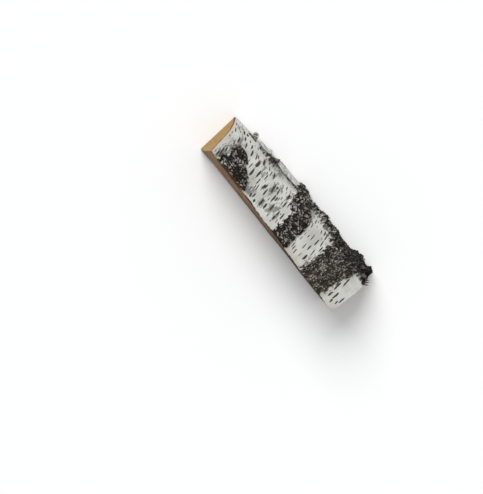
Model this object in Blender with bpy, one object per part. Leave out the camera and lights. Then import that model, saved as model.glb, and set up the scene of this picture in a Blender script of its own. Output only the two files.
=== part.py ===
"""Birch firewood: one billet, a quarter split from a round trunk, lying on its wider split face.

Metres, +Z up. The trunk's axis runs along X, with the slimmer sawn end at -X and the butt at +X.
The pith edge lies on the floor along the -Y side. From it one split face runs along the floor to
+Y and the other stands almost upright, and the bark arches over between them.

A place on the billet is given by its share, 0 at the slim end and 1 at the butt, and by its turn
about the pith edge in degrees, 0 at the floor on the +Y side and about 85 at the upright face.
"""

import math
import random

import bmesh
import bpy
import numpy as np
from mathutils import Vector

# Driving dimensions
LENGTH = 0.330
SLIM_RADIUS = 0.0730
BUTT_SWELL = 0.0115
PITH_Y = -0.0491
MIDDLE_X = -0.0014
SLIM_UPRIGHT_TURN = 82.0
BUTT_UPRIGHT_TURN = 88.5
SLIM_CUT_SLANT = -0.08
BUTT_CUT_SLANT = 0.11

# Shape of the trunk in the round: a blunt rib, a shallow flute beside it, and a slow sway
RIB_TURN = 47.0
RIB_SPREAD = 14.0
RIB_SHARE = 0.042
FLUTE_TURN = 67.0
FLUTE_SPREAD = 9.0
FLUTE_SHARE = -0.012
SWAY = 0.0009

# Torn split faces
FIBRE_RIDGE = 0.0016
FIBRE_RIPPLE = 0.0012
FLOOR_RIPPLE = 0.0010
TORN_STEP = 0.0018

BARK_SKIN = 0.0024
BARK_WAVES = 0.0005
TOP_CRUST = 0.0023
SIDE_CRUST = 0.0060
CRUST_DEEPENS_OVER = (24.0, 56.0)
CRUST_RELIEF_SHARE = 0.75
CRUST_PLATE_LENGTH = 0.0125
CRUST_PLATE_WIDTH = 0.0140
BARK_GAP = 0.0003
FLOOR_CLEARANCE_TURN = 1.0

# How finely each surface is drawn
BARK_STATIONS = 78
BARK_OUTER_STEPS = 33
BARK_INNER_STEPS = 12
WOOD_STATIONS = 42
WOOD_ARC_STEPS = 12
FLOOR_FACE_STEPS = 12
UPRIGHT_FACE_STEPS = 11

# Fissured black patches: share and turn of the middle, half length, half width, slant per degree
BLACK_PATCHES = (
    (0.135, 78.0, 0.118, 9.0, 0.0),
    (0.118, 64.0, 0.056, 14.0, 0.0012),
    (0.255, 84.0, 0.060, 6.0, 0.0),
    (0.545, 70.0, 0.057, 32.0, 0.0),
    (0.505, 36.0, 0.062, 18.0, 0.0),
    (0.815, 72.0, 0.088, 42.0, 0.0),
    (0.860, 27.0, 0.170, 17.0, 0.0),
    (0.255, 22.0, 0.024, 8.0, 0.0),
    (0.160, 27.0, 0.024, 6.0, 0.0),
    (0.339, 26.0, 0.020, 7.0, 0.0),
)
# A smooth pale plate that stands among the black crust of the +Y side, in the same five values
PALE_PLATE = (0.365, 10.0, 0.085, 9.5, 0.0)
PALE_PLATE_LIFT = 0.0036
# The turn where the crust of the +Y side begins, at the slim end and at the butt, and where it starts
SIDE_CRUST_TURNS = (22.0, 34.0)
SIDE_CRUST_START = (0.06, 0.15)

# Lens-shaped pores: share, turn, length round the trunk and width along it, the last two in millimetres
LENTICELS = (
    (0.021, 41, 10, 2.4), (0.088, 37, 9, 3.0), (0.108, 46, 11, 2.6), (0.064, 48, 8, 3.2),
    (0.136, 39, 11, 2.2), (0.115, 33, 8, 2.4), (0.154, 45, 11, 2.6), (0.185, 42, 12, 2.6),
    (0.209, 48, 12, 4.0), (0.230, 37, 12, 4.2), (0.212, 61, 10, 3.0), (0.243, 55, 15, 2.6),
    (0.281, 52, 8, 2.0), (0.266, 61, 9, 2.0), (0.287, 67, 9, 1.8), (0.275, 69, 8, 1.6),
    (0.313, 62, 7, 3.0), (0.330, 63, 9, 2.2), (0.290, 43, 12, 2.0), (0.266, 40, 11, 2.0),
    (0.306, 38, 12, 4.4), (0.351, 77, 12, 3.0), (0.378, 74, 10, 2.6), (0.342, 54, 13, 4.2),
    (0.381, 63, 11, 2.4), (0.393, 59, 8, 2.2), (0.375, 52, 11, 2.2), (0.412, 54, 8, 1.6),
    (0.448, 74, 9, 2.6), (0.451, 66, 8, 2.0), (0.472, 67, 12, 2.4), (0.440, 58, 9, 2.6),
    (0.453, 51, 6, 1.8), (0.466, 56, 8, 2.0), (0.431, 45, 12, 4.0), (0.396, 39, 10, 2.0),
    (0.484, 77, 9, 2.2), (0.617, 66, 10, 2.6), (0.615, 79, 8, 2.0), (0.631, 80, 7, 2.0),
    (0.646, 81, 9, 2.2), (0.651, 67, 11, 2.0), (0.672, 66, 9, 2.2), (0.681, 55, 11, 2.6),
    (0.651, 55, 9, 1.6), (0.717, 57, 9, 2.2), (0.705, 68, 12, 2.0), (0.696, 78, 10, 3.0),
    (0.608, 55, 8, 2.0), (0.630, 43, 10, 1.8), (0.608, 38, 9, 2.0), (0.681, 41, 13, 2.4),
    (0.705, 48, 7, 1.8), (0.914, 67, 14, 2.8), (0.929, 57, 16, 3.0), (0.949, 76, 13, 3.0),
    (0.974, 80, 8, 2.2), (0.986, 68, 9, 2.0), (0.921, 81, 8, 2.2), (0.947, 47, 8, 2.2),
)
LENTICEL_STANDS_PROUD = 0.0007
LENTICEL_ROOT_DEPTH = 0.0013

FLAKE_COUNT = 22
FLAKE_THICKNESS = 0.0009
FLAKE_LENGTHS = (0.007, 0.012)
FLAKE_WIDTHS = (0.006, 0.011)
FLAKE_CURL_RADII = (0.006, 0.011)
FLAKE_ROOT_DEPTH = 0.0014
FLAKE_SPACING = 0.012
FLAKE_STEPS = 5

SCROLL_SHARE = 0.128
SCROLL_TURN = 13.0
SCROLL_RADIUS = 0.0056
SCROLL_WIDTH = 0.0120
SCROLL_WALL = 0.0011
SCROLL_TURNS = 1.35
SCROLL_PITCH = 0.0024
SCROLL_ROOT_DEPTH = 0.0012
SCROLL_STEPS = 16


def smooth(low, high, value):
    """0 below low, 1 above high, and an S-curve between them."""
    share = np.clip((value - low) / (high - low), 0.0, 1.0)
    return share * share * (3.0 - 2.0 * share)


def noise(u, v, seed):
    """Smooth noise of about -1 to 1 whose bumps are one unit across: blended slopes on a square grid."""
    i = np.floor(u)
    j = np.floor(v)
    total = 0.0
    for di in (0, 1):
        for dj in (0, 1):
            drawn = np.sin((i + di) * 127.1 + (j + dj) * 311.7 + seed * 74.7) * 43758.5453
            heading = 2.0 * math.pi * (drawn - np.floor(drawn))
            du = u - i - di
            dv = v - j - dj
            weight = smooth(0.0, 1.0, 1.0 - np.abs(du)) * smooth(0.0, 1.0, 1.0 - np.abs(dv))
            total = total + weight * (np.cos(heading) * du + np.sin(heading) * dv)
    return 1.6 * total


def upright_turn(share):
    """The turn of the upright split face, which winds a few degrees with the grain."""
    return SLIM_UPRIGHT_TURN + (BUTT_UPRIGHT_TURN - SLIM_UPRIGHT_TURN) * share


def wood_radius(share, turn):
    """Pith edge to the outside of the wood: it swells towards the butt and has one blunt rib and a flute."""
    swell = BUTT_SWELL * (1.0 - (1.0 - share) ** 2.2)
    rib = RIB_SHARE * np.exp(-(((turn - RIB_TURN) / RIB_SPREAD) ** 2))
    flute = FLUTE_SHARE * np.exp(-(((turn - FLUTE_TURN) / FLUTE_SPREAD) ** 2))
    sway = SWAY * np.sin(2.0 * math.pi * (1.3 * share + turn / 200.0))
    return (SLIM_RADIUS + swell) * (1.0 + rib + flute) + sway


def patch_depth(share, turn, patch):
    """1 in the middle of a patch, 0 on its edge, and negative outside it: an oval, a little boxy."""
    middle, middle_turn, half_length, half_width, slant = patch
    along = np.abs(share - middle - slant * (turn - middle_turn)) / half_length
    across = np.abs(turn - middle_turn) / half_width
    return 1.0 - (along**3 + across**3) ** (1.0 / 3.0)


def crust_share(share, turn):
    """0 on smooth white bark and 1 on thick fissured bark, with ragged borders between them."""
    first, last = SIDE_CRUST_TURNS
    side_edge = first + (last - first) * smooth(0.45, 0.95, share)
    side_edge = side_edge - 45.0 * (1.0 - smooth(*SIDE_CRUST_START, share))
    depth = (side_edge - turn) / 26.0
    depth = np.minimum(depth, -1.3 * patch_depth(share, turn, PALE_PLATE))
    for patch in BLACK_PATCHES:
        depth = np.maximum(depth, patch_depth(share, turn, patch))
    ragged = 0.20 * noise(share * LENGTH / 0.016, turn / 9.0, 3)
    return smooth(-0.04, 0.22, depth + ragged)


def bark_thickness(share, turn):
    """Thin papery skin, and on the black patches a crust of plates and cracks, deepest near the floor."""
    along = share * LENGTH / CRUST_PLATE_LENGTH
    around = np.radians(turn) * SLIM_RADIUS / CRUST_PLATE_WIDTH
    plates = 1.0 - 2.0 * np.abs(noise(along, around, 11))
    knobs = 0.5 * noise(2.1 * along, 2.1 * around, 12)
    depth = SIDE_CRUST + (TOP_CRUST - SIDE_CRUST) * smooth(*CRUST_DEEPENS_OVER, turn)
    crust = depth * (1.0 + CRUST_RELIEF_SHARE * np.clip(plates + knobs, -0.7, 1.0))
    waves = BARK_WAVES * noise(share * LENGTH / 0.028, turn / 22.0, 5)
    plate = PALE_PLATE_LIFT * smooth(0.0, 0.30, patch_depth(share, turn, PALE_PLATE))
    return BARK_SKIN + waves + plate + crust_share(share, turn) * crust


def on_billet(share, turn, radius):
    """The point at a share, a turn and a distance from the pith edge, as an array of x, y, z."""
    y = PITH_Y + radius * np.cos(np.radians(turn))
    z = radius * np.sin(np.radians(turn))
    return between_cuts(share, y, z)


def between_cuts(share, y, z):
    """The point at a share of the way between the two slanting saw cuts, above y and z."""
    slim_cut = MIDDLE_X - LENGTH / 2.0 + SLIM_CUT_SLANT * y
    butt_cut = MIDDLE_X + LENGTH / 2.0 + BUTT_CUT_SLANT * y
    x = slim_cut + (butt_cut - slim_cut) * share
    return np.stack(np.broadcast_arrays(x, y, z), axis=-1)


def bark_surface(share, turn, lift=0.0):
    """A point on the outside of the bark, or that far above it."""
    radius = wood_radius(share, turn) + BARK_GAP + bark_thickness(share, turn) + lift
    return on_billet(share, turn, radius)


def material(name, colour, roughness):
    made = bpy.data.materials.new(name)
    made.use_nodes = True
    surface = made.node_tree.nodes["Principled BSDF"]
    surface.inputs["Base Color"].default_value = (*colour, 1.0)
    surface.inputs["Roughness"].default_value = roughness
    surface.inputs["Metallic"].default_value = 0.0
    return made


def object_from(name, mesh_builder, finish):
    """A named object of its own, with its faces pointing out."""
    bmesh.ops.recalc_face_normals(mesh_builder, faces=mesh_builder.faces)
    mesh = bpy.data.meshes.new(name)
    mesh_builder.to_mesh(mesh)
    mesh_builder.free()
    mesh.materials.append(finish)
    made = bpy.data.objects.new(name, mesh)
    bpy.context.scene.collection.objects.link(made)
    return made


def loft(sections):
    """A closed body through a row of closed sections, each an array of as many points, with flat ends."""
    made = bmesh.new()
    rings = [[made.verts.new(point) for point in section] for section in sections]
    for ring, following in zip(rings, rings[1:]):
        for k in range(len(ring)):
            after = (k + 1) % len(ring)
            made.faces.new((ring[k], ring[after], following[after], following[k]))
    made.faces.new(rings[0][::-1])
    made.faces.new(rings[-1])
    return made


def floor_face(share, across):
    """Wavy torn wood from the pith edge to the bark, flat on the floor where its ridges touch it."""
    reach = wood_radius(share, 0.0)
    ridges = FIBRE_RIDGE * noise(share * 3.4, across * 7.0, 21)
    ridges = ridges + FLOOR_RIPPLE * noise(share * 5.0, across * 15.0, 22)
    from_middle = np.maximum(np.abs(share - 0.5) / 0.17, np.abs(across - 0.45) / 0.22)
    height = np.maximum(0.0, ridges - 0.0004) * smooth(1.0, 1.5, from_middle)
    return between_cuts(share, PITH_Y + reach * across, height)


def upright_face(share, up):
    """Wood torn along the grain, from the pith edge up to the bark, with ridges that run lengthwise."""
    turn = upright_turn(share)
    reach = wood_radius(share, turn) * up
    ridges = FIBRE_RIDGE * noise(share * 2.6, up * 6.0, 31) + FIBRE_RIPPLE * noise(share * 4.0, up * 11.0, 32)
    torn_step = TORN_STEP * smooth(0.02, 0.08, up - 0.60 - 0.10 * np.sin(4.0 * share))
    inward = (ridges + torn_step) * smooth(0.0, 0.12, up) * smooth(0.0, 0.08, 1.0 - up)
    y = PITH_Y + reach * np.cos(np.radians(turn)) + inward * np.sin(np.radians(turn))
    z = reach * np.sin(np.radians(turn)) - inward * np.cos(np.radians(turn))
    return between_cuts(share, y, z)


def wood_section(share):
    """The quarter round in one closed line: along the floor, over under the bark, and down the split."""
    floor = floor_face(share, np.linspace(0.0, 1.0, FLOOR_FACE_STEPS + 1)[:-1])
    turns = np.linspace(0.0, upright_turn(share), WOOD_ARC_STEPS + 1)
    arc = on_billet(share, turns, wood_radius(share, turns))
    split = upright_face(share, np.linspace(1.0, 0.0, UPRIGHT_FACE_STEPS + 1)[1:-1])
    return np.concatenate([floor, arc, split])


def build_wood():
    finish = material("birch_wood", (0.50, 0.32, 0.15), 0.75)
    shares = np.linspace(0.0, 1.0, WOOD_STATIONS)
    return object_from("wood", loft([wood_section(share) for share in shares]), finish)


def bark_edges(share):
    """The turns where the bark begins above the floor and ends at the upright split, both torn ragged."""
    floor_edge = FLOOR_CLEARANCE_TURN + 0.8 * abs(noise(share * 13.0, 0.5, 41))
    split_edge = upright_turn(share) - 0.5 + 0.9 * noise(share * 11.0, 0.5, 42)
    return floor_edge, split_edge


def bark_section(share):
    """Over the outside of the bark and back along its inside, in one closed line."""
    floor_edge, split_edge = bark_edges(share)
    outer_turns = np.linspace(floor_edge, split_edge, BARK_OUTER_STEPS + 1)
    inner_turns = np.linspace(split_edge, floor_edge, BARK_INNER_STEPS + 1)
    outer = bark_surface(share, outer_turns)
    inner = on_billet(share, inner_turns, wood_radius(share, inner_turns) + BARK_GAP)
    return np.concatenate([outer, inner])


def surface_axes(share, turn):
    """A point on the bark with the directions along the trunk, round it, and straight out of it."""
    point = Vector(bark_surface(share, turn))
    along = Vector(bark_surface(share + 0.002, turn)) - Vector(bark_surface(share - 0.002, turn))
    along = Vector((along.x, 0.0, 0.0)).normalized()
    out = Vector((0.0, math.cos(math.radians(turn)), math.sin(math.radians(turn))))
    return point, along, out.cross(along).normalized(), out


def lenticel(share, turn, length, width, finish):
    """A raised lens-shaped pore, long round the trunk, its root sunk in the bark skin."""
    half_turn = math.degrees(0.0005 * length / SLIM_RADIUS)
    half_share = 0.0005 * width / LENGTH
    made = bmesh.new()
    outline = ((-1.0, 0.0), (-0.35, -0.9), (0.35, -1.0), (1.0, 0.0), (0.35, 0.9), (-0.35, 1.0))
    rings = []
    for lift, size in ((-LENTICEL_ROOT_DEPTH, 1.0), (LENTICEL_STANDS_PROUD, 0.72)):
        corners = [(share + half_share * w * size, turn + half_turn * u * size) for u, w in outline]
        rings.append([made.verts.new(bark_surface(s, t, lift)) for s, t in corners])
    for k in range(len(outline)):
        after = (k + 1) % len(outline)
        made.faces.new((rings[0][k], rings[0][after], rings[1][after], rings[1][k]))
    made.faces.new(rings[0][::-1])
    made.faces.new(rings[1])
    return object_from("lenticel_root", made, finish)


def flake_places():
    """Seeded draws along the crust of the +Y side, where loose bark shows against the background."""
    draw = random.Random(19)
    places = []
    while len(places) < FLAKE_COUNT:
        share = draw.uniform(0.12, 0.975)
        turn = draw.uniform(9.0, 46.0)
        spot = Vector((share * LENGTH, math.radians(turn) * SLIM_RADIUS))
        clear = all((spot - other).length > FLAKE_SPACING for other, *_ in places)
        if clear and crust_share(share, turn) > 0.6:
            sizes = [draw.uniform(*limits) for limits in (FLAKE_LENGTHS, FLAKE_WIDTHS, FLAKE_CURL_RADII)]
            places.append((spot, share, turn, draw.uniform(-65.0, 65.0), *sizes))
    return [place[1:] for place in places]


def flake(share, turn, heading, length, width, curl_radius, finish):
    """A scrap of loose bark that leaves the surface flat and curls away from it on an arc."""
    point, along, around, out = surface_axes(share, turn)
    forward = along * math.cos(math.radians(heading)) + around * math.sin(math.radians(heading))
    side = out.cross(forward)
    sections = []
    for k in range(FLAKE_STEPS + 1):
        reached = k / FLAKE_STEPS
        bend = reached * length / curl_radius
        rise = curl_radius * (1.0 - math.cos(bend)) - FLAKE_ROOT_DEPTH
        middle = point + forward * (curl_radius * math.sin(bend)) + out * rise
        normal = out * math.cos(bend) - forward * math.sin(bend)
        half_width = 0.5 * width * (1.0 - 0.45 * reached**2)
        half_thickness = normal * (0.5 * FLAKE_THICKNESS)
        sag = normal * (-0.12 * width)
        left = middle - side * half_width + sag
        right = middle + side * half_width + sag
        ring = (left - half_thickness, middle - half_thickness, right - half_thickness)
        ring += (right + half_thickness, middle + half_thickness, left + half_thickness)
        sections.append(ring)
    return object_from("flake_root", loft(sections), finish)


def scroll(finish):
    """A tongue of outer bark peeled back along the trunk and rolled up, seen end-on from above."""
    point, along, around, out = surface_axes(SCROLL_SHARE, SCROLL_TURN)
    centre = point + out * (SCROLL_RADIUS - SCROLL_ROOT_DEPTH)
    outside = []
    inside = []
    for k in range(SCROLL_STEPS + 1):
        wound = k / SCROLL_STEPS * SCROLL_TURNS
        angle = 2.0 * math.pi * wound - 0.5 * math.pi
        direction = along * math.cos(angle) + out * math.sin(angle)
        radius = SCROLL_RADIUS - SCROLL_PITCH * wound
        outside.append(centre + direction * radius)
        inside.append(centre + direction * (radius - SCROLL_WALL))
    outline = outside + inside[::-1]
    sections = [[corner + around * (SCROLL_WIDTH * w) for corner in outline] for w in (-0.5, 0.5)]
    return object_from("scroll_root", loft(sections), finish)


def keep_largest_shell(mesh):
    """Drops loose scraps and fills the small hollows that a union seals, each of them a shell apart."""
    whole = bmesh.new()
    whole.from_mesh(mesh)
    shells = []
    unseen = set(whole.verts)
    while unseen:
        front = [unseen.pop()]
        shell = list(front)
        while front:
            vert = front.pop()
            linked = {edge.other_vert(vert) for edge in vert.link_edges} & unseen
            unseen -= linked
            front.extend(linked)
            shell.extend(linked)
        shells.append(shell)
    shells.sort(key=len)
    apart = [vert for shell in shells[:-1] for vert in shell]
    bmesh.ops.delete(whole, geom=apart, context="VERTS")
    whole.to_mesh(mesh)
    whole.free()


def join_to(body, pieces):
    """Fuses the pieces into the body with one Boolean union, applies it, and removes the pieces."""
    grown = bpy.data.collections.new("grown_from_bark")
    bpy.context.scene.collection.children.link(grown)
    for piece in pieces:
        bpy.context.scene.collection.objects.unlink(piece)
        grown.objects.link(piece)
    union = body.modifiers.new("union", "BOOLEAN")
    union.operation = "UNION"
    union.operand_type = "COLLECTION"
    union.collection = grown
    union.solver = "MANIFOLD"
    graph = bpy.context.evaluated_depsgraph_get()
    body.data = bpy.data.meshes.new_from_object(body.evaluated_get(graph))
    body.modifiers.clear()
    for piece in pieces:
        bpy.data.objects.remove(piece)
    bpy.data.collections.remove(grown)
    keep_largest_shell(body.data)


def build_bark():
    finish = material("birch_bark", (0.47, 0.46, 0.42), 0.8)
    shares = np.linspace(0.0, 1.0, BARK_STATIONS)
    bark = object_from("bark", loft([bark_section(share) for share in shares]), finish)
    grown = [lenticel(*place, finish) for place in LENTICELS]
    grown += [flake(*place, finish) for place in flake_places()]
    grown.append(scroll(finish))
    join_to(bark, grown)
    return bark


def shade(part):
    part.data.shade_smooth()
    part.data.set_sharp_from_angle(angle=math.radians(35.0))


for leftover in list(bpy.data.objects):
    bpy.data.objects.remove(leftover)
for built in (build_wood(), build_bark()):
    shade(built)
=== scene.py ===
"""Birch firewood: one billet, a quarter split from a round trunk, lying on its wider split face.

Metres, +Z up, in the frame of the model. The trunk runs along X, the slim sawn end at -X. A place on
the billet is its share, 0 at the slim end and 1 at the butt, and its turn about the pith edge in
degrees, 0 at the floor on the +Y side and about 85 at the upright split face.
"""
import math
import random

import bmesh
import bpy
import numpy as np
from mathutils import Matrix


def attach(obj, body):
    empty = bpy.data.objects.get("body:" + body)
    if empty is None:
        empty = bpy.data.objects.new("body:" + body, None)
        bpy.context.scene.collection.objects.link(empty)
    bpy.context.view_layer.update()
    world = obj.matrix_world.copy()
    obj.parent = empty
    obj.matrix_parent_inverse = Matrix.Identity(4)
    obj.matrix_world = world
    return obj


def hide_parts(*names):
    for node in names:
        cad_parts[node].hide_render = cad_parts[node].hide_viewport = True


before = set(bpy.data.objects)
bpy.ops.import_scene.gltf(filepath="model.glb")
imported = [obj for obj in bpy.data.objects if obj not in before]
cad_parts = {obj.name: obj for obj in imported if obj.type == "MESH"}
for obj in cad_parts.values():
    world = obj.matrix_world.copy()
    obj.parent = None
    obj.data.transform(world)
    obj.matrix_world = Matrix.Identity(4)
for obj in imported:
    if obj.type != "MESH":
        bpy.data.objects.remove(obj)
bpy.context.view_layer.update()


# The split wood: a quarter of a birch trunk, cross-cut with a saw at both ends and split along the
# grain with an axe, so two faces are sawn flat across the fibres and two are torn along them.
LENGTH = 0.330
SLIM_RADIUS = 0.0730
BUTT_SWELL = 0.0115
PITH_Y = -0.0491
MIDDLE_X = -0.0014
SLIM_UPRIGHT_TURN = 82.0
BUTT_UPRIGHT_TURN = 88.5
SLIM_CUT_SLANT = -0.08
BUTT_CUT_SLANT = 0.11
WOOD_STATIONS = 262
FACE_STEPS = 88
ARC_STEPS = 92
KERF_SPACING = 0.0021
RING_SPACING = 0.0026
DRYING_CHECKS = ((0.34, 0.0016), (0.71, 0.0011))  # Share of the way round, and depth


def smooth(low, high, value):
    """0 below low, 1 above high, and an S-curve between them."""
    share = np.clip((value - low) / (high - low), 0.0, 1.0)
    return share * share * (3.0 - 2.0 * share)


def drawn(i, j, seed):
    """A number from 0 to 1 for each square of a grid, always the same one for the same square."""
    value = np.sin(i * 127.1 + j * 311.7 + seed * 74.7) * 43758.5453
    return value - np.floor(value)


def noise(u, v, seed):
    """Smooth noise of about -1 to 1 whose bumps are one unit across: blended slopes on a square grid."""
    i, j = np.floor(u), np.floor(v)
    total = 0.0
    for di in (0, 1):
        for dj in (0, 1):
            heading = 2.0 * math.pi * drawn(i + di, j + dj, seed)
            du, dv = u - i - di, v - j - dj
            weight = smooth(0.0, 1.0, 1.0 - np.abs(du)) * smooth(0.0, 1.0, 1.0 - np.abs(dv))
            total = total + weight * (np.cos(heading) * du + np.sin(heading) * dv)
    return 1.6 * total


def upright_turn(share):
    """The turn of the upright split face, which winds a few degrees with the grain."""
    return SLIM_UPRIGHT_TURN + (BUTT_UPRIGHT_TURN - SLIM_UPRIGHT_TURN) * share


def wood_radius(share, turn):
    """Pith edge to the outside of the wood: it swells to the butt, with a blunt rib, a flute and a sway."""
    swell = BUTT_SWELL * (1.0 - (1.0 - share) ** 2.2)
    rib = 0.042 * np.exp(-(((turn - 47.0) / 14.0) ** 2))
    flute = -0.012 * np.exp(-(((turn - 67.0) / 9.0) ** 2))
    sway = 0.0009 * np.sin(2.0 * math.pi * (1.3 * share + turn / 200.0))
    return (SLIM_RADIUS + swell) * (1.0 + rib + flute) + sway


def between_cuts(share, y, z):
    """The point at a share of the way between the two slanting saw cuts, above y and z."""
    slim_cut = MIDDLE_X - LENGTH / 2.0 + SLIM_CUT_SLANT * y
    butt_cut = MIDDLE_X + LENGTH / 2.0 + BUTT_CUT_SLANT * y
    return np.stack(np.broadcast_arrays(slim_cut + (butt_cut - slim_cut) * share, y, z), axis=-1)


def on_billet(share, turn, radius):
    """The point at a share, a turn and a distance from the pith edge."""
    y = PITH_Y + radius * np.cos(np.radians(turn))
    return between_cuts(share, y, radius * np.sin(np.radians(turn)))


def floor_face(share, across):
    """Long low ridges that touch the floor in places, with finer torn fibres running along them."""
    ridges = 0.0016 * noise(share * 3.4, across * 7.0, 21) + 0.0010 * noise(share * 5.0, across * 15.0, 22)
    from_middle = np.maximum(np.abs(share - 0.5) / 0.17, np.abs(across - 0.45) / 0.22)
    height = np.maximum(0.0, ridges - 0.0004) * smooth(1.0, 1.5, from_middle)
    fibres = 0.0004 * noise(share * 9.0, across * 34.0, 61) + 0.0003 * noise(share * 21.0, across * 20.0, 62)
    inside = smooth(0.0, 0.03, across) * smooth(0.0, 0.03, 1.0 - across)
    height = height + np.maximum(0.0, fibres) * inside
    return between_cuts(share, PITH_Y + wood_radius(share, 0.0) * across, height)


def upright_inward(share, up):
    """How far the torn face is hollowed: long ridges, steps from one year ring to the next, and fibres."""
    ridges = 0.0016 * noise(share * 2.6, up * 6.0, 31) + 0.0012 * noise(share * 4.0, up * 11.0, 32)
    torn_step = 0.0018 * smooth(0.02, 0.08, up - 0.60 - 0.10 * np.sin(4.0 * share))
    jag = 0.018 * noise(share * 34.0, 0.5, 63) + 0.006 * noise(share * 110.0, 0.5, 64)
    ledge = 0.0009 * smooth(0.0, 0.014, up - 0.33 - 0.07 * np.sin(5.0 * share + 1.0) - jag)
    ledge = ledge - 0.0009 * smooth(0.0, 0.014, up - 0.79 + 0.05 * np.sin(6.0 * share) + jag)
    fibres = 0.00042 * noise(share * 8.0, up * 36.0, 65) + 0.0003 * noise(share * 19.0, up * 19.0, 66)
    edges = smooth(0.0, 0.12, up) * smooth(0.0, 0.08, 1.0 - up)
    bulge = 0.0112 * up * (1.0 - up) * smooth(0.30, 0.0, share)
    fibres = fibres * smooth(0.0, 0.03, up) * smooth(0.0, 0.03, 1.0 - up)
    return (ridges + torn_step + ledge) * edges + fibres - bulge


def upright_face(share, up):
    """The point a share of the way up the upright split face, as hollow as it is torn there."""
    turn = np.radians(upright_turn(share))
    reach = wood_radius(share, np.degrees(turn)) * up
    inward = upright_inward(share, up)
    y = PITH_Y + reach * np.cos(turn) + inward * np.sin(turn)
    return between_cuts(share, y, reach * np.sin(turn) - inward * np.cos(turn))


def sawn_end(share):
    """A fan about the pith whose edges bend to meet the two torn faces, scored by the saw and checked."""
    reach = np.linspace(0.0, 1.0, FACE_STEPS + 1)[:, None]
    side = np.linspace(0.0, 1.0, ARC_STEPS + 1)[None, :]
    turn = np.radians(side * upright_turn(share))
    radius = wood_radius(share, np.degrees(turn)) * reach
    y, z = PITH_Y + radius * np.cos(turn), radius * np.sin(turn)
    floor_edge = floor_face(share, reach[:, 0])
    upright_edge = upright_face(share, reach[:, 0])
    for edge, column, weight in ((floor_edge, 0, (1.0 - side) ** 6), (upright_edge, -1, side**6)):
        inside = (reach < 1.0) & ((reach > 0.0) | (column == 0))
        y = y + weight * np.where(inside, edge[:, 1:2] - y[:, column][:, None], 0.0)
        z = z + weight * np.where(inside, edge[:, 2:3] - z[:, column][:, None], 0.0)
    y[0], z[0] = floor_edge[0, 1], floor_edge[0, 2]
    points = between_cuts(share, y, z)
    slanted = z * 0.82 + y * 0.57 + 0.0016 * noise(y / 0.02, z / 0.02, 71)
    relief = 0.00012 * np.sin(slanted * 2.0 * math.pi / KERF_SPACING)
    relief = relief + 0.00025 * noise(y / 0.006, z / 0.006, 72)
    for at, deep in DRYING_CHECKS:
        wander = 0.02 * noise(reach * 5.0, at, 73)
        groove = np.exp(-(((side - at - wander) * reach / 0.010) ** 2))
        relief = relief - deep * groove * smooth(0.12, 0.3, reach)
    fade = smooth(0.0, 0.03, 1.0 - reach) * smooth(0.0, 0.04, reach)
    fade = fade * smooth(0.0, 0.04, side) * smooth(0.0, 0.04, 1.0 - side)
    points[..., 0] += relief * fade * np.sign(share - 0.5)
    return points, np.broadcast_to(reach, y.shape)


def grid_faces(rows, columns, closed=False):
    """Corner numbers of the quads over a grid of points, row after row, joined round if it is closed."""
    first = np.arange(rows - 1)[:, None] * columns
    start = np.arange(columns if closed else columns - 1)[None, :]
    after = (start + 1) % columns
    corners = (first + start, first + after, first + columns + after, first + columns + start)
    return np.stack(corners, axis=-1).reshape(-1, 4)


def shown(name, data):
    """An object with a mesh, a light or a camera in it, put into the scene at the origin."""
    made = bpy.data.objects.new(name, data)
    bpy.context.scene.collection.objects.link(made)
    return made


def add_piece(name, points, faces, finishes, finish_of_face=None, **marks):
    """Puts arrays into a mesh, each mark as a point attribute, welds what coincides, and turns faces out."""
    mesh = bpy.data.meshes.new(name)
    mesh.from_pydata(points.reshape(-1, 3), [], faces if isinstance(faces, list) else faces.tolist())
    for mark, values in marks.items():
        values = np.asarray(values, np.float32)
        kind, field = ("FLOAT_VECTOR", "vector") if values.size == points.size else ("FLOAT", "value")
        mesh.attributes.new(mark, kind, "POINT").data.foreach_set(field, values.ravel())
    if finish_of_face is not None:
        mesh.polygons.foreach_set("material_index", np.asarray(finish_of_face, np.int32))
    welded = bmesh.new()
    welded.from_mesh(mesh)
    bmesh.ops.remove_doubles(welded, verts=welded.verts, dist=1e-6)
    bmesh.ops.recalc_face_normals(welded, faces=welded.faces)
    welded.to_mesh(mesh)
    welded.free()
    mesh.shade_smooth()
    for finish in finishes:
        mesh.materials.append(finish)
    made = shown(name, mesh)
    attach(made, "root")
    return made


def linear(hex_colour):
    """A six-digit sRGB colour as the linear red, green, blue and alpha that a shader takes."""
    channels = [int(hex_colour[k:k + 2], 16) / 255.0 for k in (1, 3, 5)]
    return tuple(c / 12.92 if c <= 0.04045 else ((c + 0.055) / 1.055) ** 2.4 for c in channels) + (1.0,)


def feed(tree, node, inputs):
    """Sets sockets of a node, by name or number, each to a plain value or to a link from a socket."""
    for socket, value in dict(inputs).items():
        if isinstance(value, bpy.types.NodeSocket):
            tree.links.new(value, node.inputs[socket])
        else:
            node.inputs[socket].default_value = value


def add_node(tree, kind, inputs=(), output=None, **settings):
    """Adds a node with its settings and its fed inputs, and gives the output named, or the first live one."""
    made = tree.nodes.new("ShaderNode" + kind)
    for setting, value in settings.items():
        setattr(made, setting, value)
    feed(tree, made, inputs)
    return made.outputs[output] if output else next(socket for socket in made.outputs if socket.enabled)


def new_finish(name, *marks):
    """A material, its node tree, and a socket for each of the piece's marks that it follows."""
    finish = bpy.data.materials.new(name)
    finish.use_nodes = True
    tree = finish.node_tree
    return finish, tree, *(add_node(tree, "Attribute", output="Fac", attribute_name=mark) for mark in marks)


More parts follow.
